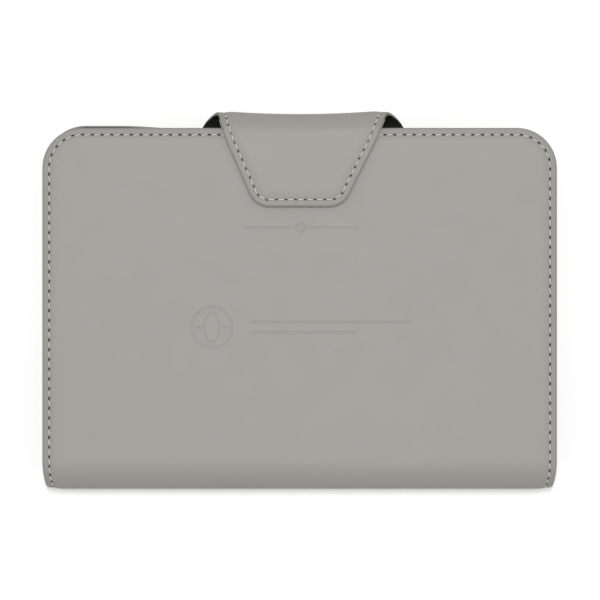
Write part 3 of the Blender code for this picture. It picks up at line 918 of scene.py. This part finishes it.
def strap_outline(inside):
    """The strap's corners, a little inside its widest outline, with spare length below the seam."""
    (s0, half0, mid0), *rest = taper
    rows = [(s0 - SPARE, half0, mid0), (s0, half0, mid0), *rest]
    rows[-1] = (S_TIP - inside, rows[-1][1] + inside * 0.25, rows[-1][2])
    left = [(mid - half + inside, s) for s, half, mid in rows]
    right = [(mid + half - inside, s) for s, half, mid in reversed(rows)]
    return left + right


def groove_line(bm, level):
    """The bottom of the stitch groove, as (x, s) points in order round the ply."""
    bm.verts.index_update()
    joined = {}
    for e in bm.edges:
        if all(abs(v.co.z - level) < 1e-3 for v in e.verts):
            a, b = e.verts
            joined.setdefault(a, []).append(b)
            joined.setdefault(b, []).append(a)
    start = min(joined, key=lambda v: (round(v.co.y, 3), v.co.x))
    walk = [start, min(joined[start], key=lambda v: v.co.x - v.co.y)]
    while len(walk) < len(joined):
        ahead = [v for v in joined[walk[-1]] if v is not walk[-2]]
        walk.append(ahead[0])
    return [tuple(v.co.xy) for v in walk]


STRAP_SKIN = 0.8
STRAP_BORDER = ((1.25, 0.08), (0.35, -0.2), (0.35, 0.2), (0.4, 0.1), (0.6, 0.14), (0.9, 0.1), (0.6, 0.03))
strap_rise = sum(rise for _, rise in STRAP_BORDER)
corners = strap_outline(0.2)
radii = [0, 3, 4, 4, TIP_R, TIP_R, 4, 4, 3, 0]
outer = ply(corners, radii, -strap_rise - STRAP_SKIN, -strap_rise, segments=8)
leather_shape = [tuple(v.co.xy) for v in widest(outer, -strap_rise).verts]
round_rim(outer, -strap_rise, 0.3)
rings(outer, -strap_rise, STRAP_BORDER)
under = -strap_rise - STRAP_SKIN
rings(outer, under, ((1.9, 0.0), (1.0, 0.35 - strap_rise), (0.6, -0.35)), up=-1)
groove_level = -strap_rise + STRAP_BORDER[0][1] + STRAP_BORDER[1][1]
strap_line = [p for p in groove_line(outer, groove_level) if p[1] > 0.5]
strap_seam = spaced(strap_line, PITCH)
holes = set_along(strap_seam, hole_mesh, -LEAN_HOLE, shift=0.5, height=-0.35, scale=0.9)
outer = carve(outer, holes)
mark_edge_distance(outer, leather_shape)
cut_across(outer, strap.stations[1:-1])
cut_across(outer, SAG_LINES, along=(1, 0, 0))
print(f"{len(strap_seam)} stitches along the strap")


# %% Divide it at its hinges and lay it round
def sag(bm):
    """The crest's middle hangs back a little between its stiffer edges."""
    for v in bm.verts:
        near = math.exp(-(((v.co.z - CREST_Z - 2) / 6.5) ** 2)) * (v.co.y > EDGE_Y - 1)
        to_edge = min(1.0, (v.co.x / 24.0) ** 2)
        v.co.y += near * (0.8 * to_edge - 0.25 * (1 - to_edge))
    return bm


strap_parts = (
    ("strap_base", (0.0, S_MID_LOW), ("back_cover", "strap_lower"), "strap_lower"),
    ("strap_crest", (S_MID_LOW, S_MID_HIGH), ("strap_lower", "strap_upper"), "strap_upper"),
    ("strap_tab", (S_MID_HIGH, S_FOLD + 2.1), ("strap_upper", "strap_tab"), "strap_tab"),
)
for name, zone, bodies, node in strap_parts:
    top = None if name == "strap_tab" else zone[1]
    made = sag(lay(section(outer, zone[0], top), strap))
    made = piece(name + "_leather", made, (strap_leather, painted_hole_shade))
    bend_with(made, strap, zone, bodies, -0.4)
    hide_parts(node + "_skin")
    seam = [place for place in strap_seam if zone[0] <= place[0].y < (top or S_TIP)]
    bm = set_along(seam, stitch_mesh, -LEAN_THREAD, height=-strap_rise + 0.02, jitter=wobble)
    made = piece(name + "_stitches", sag(lay(bm, strap)), (thread,), sharp=80)
    bend_with(made, strap, zone, bodies, -0.4)
outer.free()

# %% Its lining, pressed to the leather at the edges and stepping over the core
LINING_TOP, LINING_UNDER = -1.3, -1.9
CORE_STEP = 0.5
SKIVED, FOLD_SKIVED = 0.4, 0.32
inner = ply(strap_outline(0.0), radii, LINING_UNDER, LINING_TOP, segments=8)
lining_shape = [tuple(v.co.xy) for v in widest(inner, LINING_TOP).verts]
for level, up in ((LINING_TOP, 1), (LINING_UNDER, -1)):
    round_rim(inner, level, 0.12, up=up, segments=2)
    rings(inner, level, ((0.33, 0.0), (1.45, 0.0), (0.5, 0.0), (0.5, 0.0), (0.5, 0.0)), up=up)
mark_edge_distance(inner, lining_shape)
cut_across(inner, strap.stations[1:-1])
cut_across(inner, SAG_LINES, along=(1, 0, 0))
away = inner.verts.layers.float["edge_mm"]


for v in inner.verts:
    on_tab = eased(v.co.y, S_FOLD - 3, S_FOLD)
    if v.co.z < (LINING_TOP + LINING_UNDER) / 2:
        # The loop's edges are skived thin, so only a narrow edge shows beside the dark inside. The fold is skived
        # too, all across, so that it bends without pressing on the cover.
        at_edge = SKIVED * (1 - on_tab) * (1 - eased(v[away], 0.5, 3.0))
        at_fold = FOLD_SKIVED * (1 - eased(abs(v.co.y - S_FOLD + 1.5), 2.5, 4.5))
        v.co.z += max(at_edge, at_fold)
    # The core's room is partly there already where the shoulder falls, so the step comes in as that ends.
    v.co.z -= CORE_STEP * eased(v[away], 1.9, 3.4) * eased(v.co.y, S_FOLD - 1, S_FOLD + 6)
for face in inner.faces:
    on_tab = face.calc_center_median().y > S_MID_HIGH
    face.material_index = int(on_tab and max(v[away] for v in face.verts) < 0.5)
for name, zone, bodies, node in strap_parts:
    top = None if name == "strap_tab" else zone[1]
    made = sag(lay(section(inner, zone[0], top), strap))
    made = piece(name + "_lining_ply", made, (strap_lining, cut_edge))
    bend_with(made, strap, zone, bodies, -1.6)
    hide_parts(node + "_lining")
inner.free()

# %% The tongue: the strap's skived end, sewn in between the turned edge and the lining
low, high = box_mm("strap_tongue")
tongue = ply(oblong(low, high), [2, 2, 0, 0], low.z, high.z, segments=4)
round_rim(tongue, high.z, 0.25, segments=2)
cut_across(tongue, [low.y + d for d in (1, 2, 3, 4, 6)])
for v in tongue.verts:
    if v.co.z > (low.z + high.z) / 2:
        v.co.z -= 0.55 * (1 - eased(v.co.y, low.y, low.y + 6))
made = piece("strap_tongue_leather", tongue, (strap_lining,))
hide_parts("strap_tongue")
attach(made, "back_cover")

# %% [markdown]
# ## Pockets
# The passport pocket stands on the back cover: a panel with a thumb notch, lifted by a folded gusset on three sides
# so that a booklet fits. The front cover's inside has one long slip pocket and three card panels, each a little
# lower than the one before. Their edges are tooled with a crease line, and the thread sits in it.

# %% Pocket panels
CREASE = ((0.95, 0.0), (0.35, -0.12), (0.35, 0.12), (0.5, 0.0))


def pocket_panel(node, name, body, end_radius, faces_up, keep, notch=0.0):
    """A pocket's panel where its solid is, and the stitches of its crease line that keep lets through."""
    low, high = box_mm(node)
    bottom, top = (low.z, high.z) if faces_up else (-high.z, -low.z)
    # The arc's first and last points leave room for the rings at the notch's two corners.
    angles = [math.radians(180 - 7.5 * k) for k in range(25) if k not in (1, 23)] if notch else []
    thumb = [(notch * math.cos(a), low.y + notch * math.sin(a)) for a in angles]
    corners = [(low.x, low.y), *thumb, (high.x, low.y), (high.x, high.y), (low.x, high.y)]
    bm = ply(corners, [0] * (len(corners) - 2) + [end_radius] * 2, bottom, top, segments=10)
    round_rim(bm, top, 0.2, segments=3)
    rings(bm, top, CREASE)
    line = groove_line(bm, top - 0.12)
    mark_edge_distance(bm, corners)
    seam = [place for place in spaced(line, PITCH, closed=True) if keep(place[0].x, place[0].y)]
    thread_bm = set_along(seam, stitch_mesh, LEAN_THREAD, height=top - 0.03, scale=0.75, jitter=wobble)
    for part, label, finish, slot in (
        (bm, "_leather", pocket_leather, "pocket_leather"),
        (thread_bm, "_stitches", thread, "thread"),
    ):
        if not faces_up:
            turn = Matrix.Rotation(math.pi, 3, "Y")
            bmesh.ops.rotate(part, verts=part.verts, cent=(0, 0, 0), matrix=turn)
        made = piece(name + label, part, (finish,))
        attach(made, body)
        if label == "_leather":
            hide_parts(node)


mouth = box_mm("passport_pocket_panel")[0].y
pocket_panel(
    "passport_pocket_panel", "passport_pocket", "back_cover", 8.9, True, lambda x, y: y > mouth + 3, notch=11.0
)
slip_mouth = box_mm("slip_pocket_panel")[0].y
pocket_panel(
    "slip_pocket_panel",
    "slip_pocket",
    "front_cover",
    8.9,
    False,
    lambda x, y: y > slip_mouth + 3 and (abs(x) > 50 or y < 40),
)
card_mouths = [box_mm(f"card_slot_panel_{k}")[0].y for k in (1, 2, 3)] + [EDGE_Y]
for k in (1, 2, 3):
    own, following = card_mouths[k - 1], card_mouths[k]
    pocket_panel(
        f"card_slot_panel_{k}",
        f"card_slot_{k}",
        "front_cover",
        0,
        False,
        lambda x, y, own=own, following=following: own + 2.5 < y < following - 1,
    )


# %% Folded gussets under the passport pocket
def gusset(node, along_x, outward):
    """A strip folded inwards once, standing where its solid is."""
    low, high = box_mm(node)
    fold = 0.5
    bm = bmesh.new()
    outer_line, inner_line = (low, high) if outward < 0 else (high, low)
    reach = (0.3, 1.3)
    for level, share in ((low.z + 0.2, 0), ((low.z + high.z) / 2, 1), (high.z - 0.2, 0)):
        if along_x:
            bm.verts.new((low.x, outer_line.y - outward * reach[share], level))
        else:
            bm.verts.new((outer_line.x - outward * reach[share], low.y, level))
    bm.verts.ensure_lookup_table()
    line = [bm.edges.new(bm.verts[i : i + 2]) for i in range(2)]
    run = Vector((high.x - low.x, 0, 0)) if along_x else Vector((0, high.y - low.y, 0))
    extruded = bmesh.ops.extrude_edge_only(bm, edges=line)["geom"]
    moved = [g for g in extruded if isinstance(g, bmesh.types.BMVert)]
    bmesh.ops.translate(bm, verts=moved, vec=run)
    crease = [e for e in bm.edges if len(e.link_faces) == 2]
    bevel(bm, crease, 0.45, 4)
    bmesh.ops.recalc_face_normals(bm, faces=bm.faces)
    bmesh.ops.solidify(bm, geom=bm.faces[:], thickness=fold * 0.6)
    mark_edge_distance(bm, [(-900, -900), (900, -900), (900, -800)])
    made = piece(node.replace("_pocket", "") + "_fold", bm, (pocket_leather,))
    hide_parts(node)
    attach(made, "back_cover")


gusset("passport_pocket_gusset_left", False, -1)
gusset("passport_pocket_gusset_right", False, 1)
gusset("passport_pocket_gusset_end", True, 1)

# %% [markdown]
# ## Padding and stiffeners
# Between leather and board lies a thin foam that gives the covers their soft middle. It is a sheet a little over
# 0.4 mm thick, too thin to simulate as a cushion, so it is cut as a ply with soft edges.
# The boards, magnets and the tab's core are already the right shape, so they only get their finishes.

# %% Foam, and finishes for the stiff parts
for cover in ("back_cover", "front_cover"):
    low, high = box_mm(cover + "_foam")
    foam = ply(oblong(low, high), [0, 0, 8.6, 8.6], low.z, high.z, segments=8)
    round_rim(foam, high.z, 0.18, segments=2)
    bmesh.ops.subdivide_edges(foam, edges=list(widest(foam, low.z, -1).edges), cuts=1)
    cut_across(foam, [low.y + 8 * k for k in range(1, 12)])
    made = piece(cover + "_padding", foam, (soft_foam,))
    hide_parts(cover + "_foam")
    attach(made, cover)

stiff = {
    "back_cover_board": paperboard,
    "front_cover_board": paperboard,
    "front_magnet": magnet_metal,
    "strap_tab_magnet": magnet_metal,
    "strap_tab_core": core_plastic,
}
for node, finish in stiff.items():
    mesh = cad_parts[node].data
    mesh.materials.clear()
    mesh.materials.append(finish)
print("finished as they are:", ", ".join(stiff))

# %% [markdown]
# ## Camera, floor and light
# The wallet lies on a white sweep and is seen from straight above. The light is a wide soft panel over it inside a
# bright room, so the round spine and the strap's bend fall off gently and only a thin shadow shows under them.

# %% Camera
VIEW_ACROSS = 0.1724
CAMERA_UP = 0.9
camera = bpy.data.objects.new("camera", bpy.data.cameras.new("camera"))
camera.data.sensor_width = 36.0
camera.data.lens = 36.0 * CAMERA_UP / VIEW_ACROSS
camera.location = (0.00011, 0.00005, THICK * MM + CAMERA_UP)
bpy.context.scene.collection.objects.link(camera)
bpy.context.scene.camera = camera

# %% Floor
floor_bm = bmesh.new()
bmesh.ops.create_circle(floor_bm, cap_ends=True, segments=64, radius=3.0)
bmesh.ops.translate(floor_bm, verts=floor_bm.verts, vec=(0, 0, -0.0002))
floor_mesh = mesh_from(floor_bm, "floor")
floor = bpy.data.objects.new("floor", floor_mesh)
floor_white, tree, shader = material("floor_white", (0.86, 0.86, 0.86), 0.9, specular_ior_level=0.0)
shader.inputs["Emission Color"].default_value = (1, 1, 1, 1)
seen = add(tree, "LightPath").outputs["Is Camera Ray"]
tree.links.new(maths(tree, "MULTIPLY", seen, 0.2), shader.inputs["Emission Strength"])
floor_mesh.materials.append(floor_white)
bpy.context.scene.collection.objects.link(floor)

# %% Light
ROOM_STRENGTH, PANEL_POWER = 0.44, 15.6
room = bpy.data.worlds.new("room")
room.use_nodes = True
room.node_tree.nodes["Background"].inputs["Color"].default_value = (1.0, 1.0, 1.0, 1)
room.node_tree.nodes["Background"].inputs["Strength"].default_value = ROOM_STRENGTH
bpy.context.scene.world = room


def soft_panel(name, place, aim, across, along, power):
    light = bpy.data.lights.new(name, "AREA")
    light.shape = "ELLIPSE"
    light.size, light.size_y = across, along
    light.energy = power
    made = bpy.data.objects.new(name, light)
    made.location = place
    made.rotation_euler = (Vector(aim) - Vector(place)).to_track_quat("-Z", "Y").to_euler()
    bpy.context.scene.collection.objects.link(made)
    return made


soft_panel("overhead_panel", (0.0, 0.18, 1.6), (0, 0, 0), 0.18, 0.5, PANEL_POWER)
bpy.context.scene.view_settings.view_transform = "Standard"
